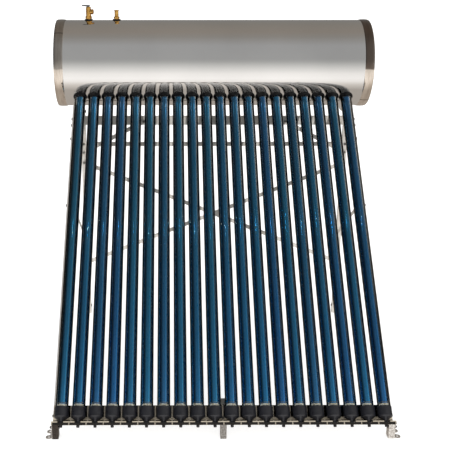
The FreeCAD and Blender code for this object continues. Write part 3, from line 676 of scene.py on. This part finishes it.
def add_cups():
    """Ribbed end cups with a rolled rim, a soft shoulder and a threaded stem."""
    # heights along the tube, from the centre of the glass dome
    rim = -17 * MM
    skirt = 28 * MM
    tip = 48 * MM
    end = 72 * MM
    radius = 32 * MM
    wall = radius - 0.6 * MM                    # the bottoms of the grooves between the ribs
    stem = 7.5 * MM
    segments = 144                              # four to a rib

    def ribs(k, height):
        return 0.55 * MM if k % 4 < 2 and rim + 4 * MM < height < skirt - 4 * MM else 0.0

    profile = [(rim + 5 * MM, GLASS_RADIUS + 0.3 * MM), (rim + 0.8 * MM, GLASS_RADIUS + 0.4 * MM),
               (rim, GLASS_RADIUS + 1.2 * MM), (rim + 0.4 * MM, wall), (rim + 1.4 * MM, radius),
               (rim + 3.2 * MM, radius), (rim + 4.6 * MM, wall)]
    profile += [(rim + (5 + 3 * k) * MM, wall) for k in range(12)]
    profile += [(skirt - 4.2 * MM, wall), (skirt - 3.0 * MM, radius), (skirt - 1.2 * MM, radius),
                (skirt + 0.8 * MM, radius - 1.6 * MM), (skirt + 5 * MM, radius - 8.0 * MM),
                (skirt + 12 * MM, radius - 17.0 * MM), (tip - 3 * MM, stem + 3.4 * MM),
                (tip - 0.8 * MM, stem + 1.2 * MM), (tip, stem + 0.1 * MM)]
    turns = 7
    pitch = (end - tip - 3 * MM) / turns
    for k in range(turns):
        base = tip + 1.5 * MM + k * pitch
        profile += [(base, stem - 0.1 * MM), (base + pitch * 0.5, stem - 0.75 * MM)]
    profile += [(end - 1 * MM, stem - 0.2 * MM), (end, stem - 1.2 * MM)]
    bm = bmesh.new()
    for x in TUBE_XS:
        lathe(bm, profile, tube_frame(x, DOME_S), segments, ribs)
    cups = piece("ribbed_tube_cups", bm, "tube_cups")
    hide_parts("tube_cups")


def add_seals():
    """Dust rings: a flange on the tank, a soft shoulder and a rolled lip on the glass."""
    profile = [(223, 29.1), (223, 36.4), (229, 37.0), (232.5, 36.6), (235, 35.2), (236.5, 33.4),
               (237.2, 31.8), (238.6, 32.4), (240.4, 32.2), (241.8, 31.2), (242.4, 29.9),
               (242.2, 29.15)]                  # millimetres
    profile = [(height * MM, radius * MM) for height, radius in profile]
    bm = bmesh.new()
    for x in TUBE_XS:
        lathe(bm, profile, tube_frame(x), 60, closed=True)
    seals = piece("lipped_tube_seals", bm, "tube_seals")
    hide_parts("tube_seals")


def add_getters():
    """Barium getter film inside the glass above each cup."""
    first = DOME_S - 27 * MM
    last = DOME_S - 2 * MM
    outer = GLASS_RADIUS - 1.95 * MM
    inner = outer - 0.1 * MM
    bm = bmesh.new()
    for x in TUBE_XS:
        lathe(bm, [(first, outer), (last, outer), (last, inner), (first, inner)], tube_frame(x),
              40, closed=True)
    piece("getter_films", bm, "valve_stem", getter_mirror(first, first + 4 * MM))


def add_support_clips():
    """Spring wire clips that centre the inner glass in the outer one, near its closed end."""
    wire = 1.1 * MM
    radius = 25.4 * MM
    first_foot = 62                             # degrees round the tube
    half_foot = 2.4 * MM
    foot_profile = [(h * half_foot, 0.2 * MM + (wire + 0.3 * MM) * math.cos(h * math.pi / 2))
                    for h in (-1, -0.7, -0.35, 0, 0.35, 0.7, 1)]
    bm = bmesh.new()
    for x in TUBE_XS:
        place = tube_frame(x, DOME_S - 33 * MM)
        lathe(bm, torus_profile(radius, wire, 8), place, 36, closed=True)
        for k in range(4):
            turn = Matrix.Rotation(math.radians(90 * k + first_foot), 4, "Z")
            foot = place @ turn @ Matrix.Translation((radius, 0, 0.5 * MM))
            lathe(bm, foot_profile, foot, 10)
    piece("support_clips", bm, "valve_stem")


def add_end_bands():
    """Crowned strips that clamp the end covers, each with its lapped joint."""
    low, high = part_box("end_bands")
    width = 48 * MM
    # share of the width, and millimetres above the shell
    crown = [(0.0, 0.25), (0.02, 1.3), (0.07, 2.1), (0.16, 2.9), (0.3, 3.5), (0.5, 3.8),
             (0.7, 3.5), (0.84, 2.9), (0.93, 2.0), (0.985, 0.9), (1.0, 0.2), (0.995, 0.05),
             (0.5, 0.05), (0.005, 0.05)]
    profile = [(width * share, SHELL_RADIUS + rise * MM) for share, rise in crown]
    bm = bmesh.new()
    for side, start in (("left", low.x), ("right", high.x - width)):
        joint = 270 - BAND_JOINTS[side]

        def lap(k, height, joint=joint):
            """A groove at the joint and a slight step for some degrees past it."""
            past = (k - joint) % 360
            if height <= 0 or past >= 9:
                return 0.0
            return -0.9 * MM if past == 0 else 0.35 * MM

        place = Matrix.Translation((start, TANK.y, TANK.z)) @ frame_of((1, 0, 0))
        lathe(bm, profile, place, 360, lap, closed=True)
    bands = piece("crowned_end_bands", bm, "end_bands")
    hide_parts("end_bands")


def add_spring():
    """The valve's coil spring; the stem shortens it from below when the lever lifts it, but this
    piece is built at one length only.
    """
    low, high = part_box("valve_spring")
    centre = (low + high) / 2
    wire = 0.8 * MM
    radius = (high.x - low.x) / 2 - wire
    turns, per_turn, around = 7, 24, 8
    rings = []
    bm = bmesh.new()
    for k in range(turns * per_turn + 1):
        share = k / (turns * per_turn)
        angle = 2 * math.pi * k / per_turn
        out = Vector((math.cos(angle), math.sin(angle), 0))
        height = low.z + wire + share * (high.z - low.z - 2 * wire)
        core = Vector((centre.x, centre.y, height)) + out * radius
        ring = []
        for j in range(around):
            turn = 2 * math.pi * j / around
            section = out * math.cos(turn) + Vector((0, 0, math.sin(turn)))
            ring.append(bm.verts.new(core + section * wire))
        rings.append(ring)
    join(bm, rings)
    spring = piece("coil_spring", bm, "valve_spring")
    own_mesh(spring)
    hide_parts("valve_spring")


def add_threads():
    """Pipe threads on the water pipe ends and on the relief valve's outlet."""
    ridge = 0.55 * MM
    pitch = 1.814 * MM                          # 14 threads to the inch
    ends = 1 * MM                               # left plain at each end
    bm = bmesh.new()
    for mount in frame["record"]["mounts"]:
        if mount["kind"] != "threaded_hole":
            continue
        axis = Vector(mount["axis"])
        deep = mount["dims"]["length_mm"] * MM
        bore = mount["dims"]["r_mm"] * MM
        place = Matrix.Translation(Vector(mount["pos_m"]) - axis * deep / 2) @ frame_of(axis)
        profile = [(ends, bore + 0.05 * MM)]
        for k in range(int((deep - 2 * ends) / pitch)):
            base = ends + k * pitch
            profile += [(base + 0.2 * pitch, bore), (base + 0.5 * pitch, bore - ridge),
                        (base + 0.6 * pitch, bore - ridge), (base + 0.9 * pitch, bore)]
        profile += [(deep - ends, bore + 0.05 * MM), (deep - ends, bore + 0.3 * MM),
                    (ends, bore + 0.3 * MM)]
        lathe(bm, profile, place, 48, closed=True)
    piece("pipe_threads", bm, "water_nipples")


add_camera()
add_floor()
add_world()
bpy.context.scene.view_settings.view_transform = "Standard"
paint_nodes()
add_lights(add_glass() + [add_absorbers()])
add_cups()
add_seals()
add_getters()
add_support_clips()
add_end_bands()
add_spring()
add_threads()
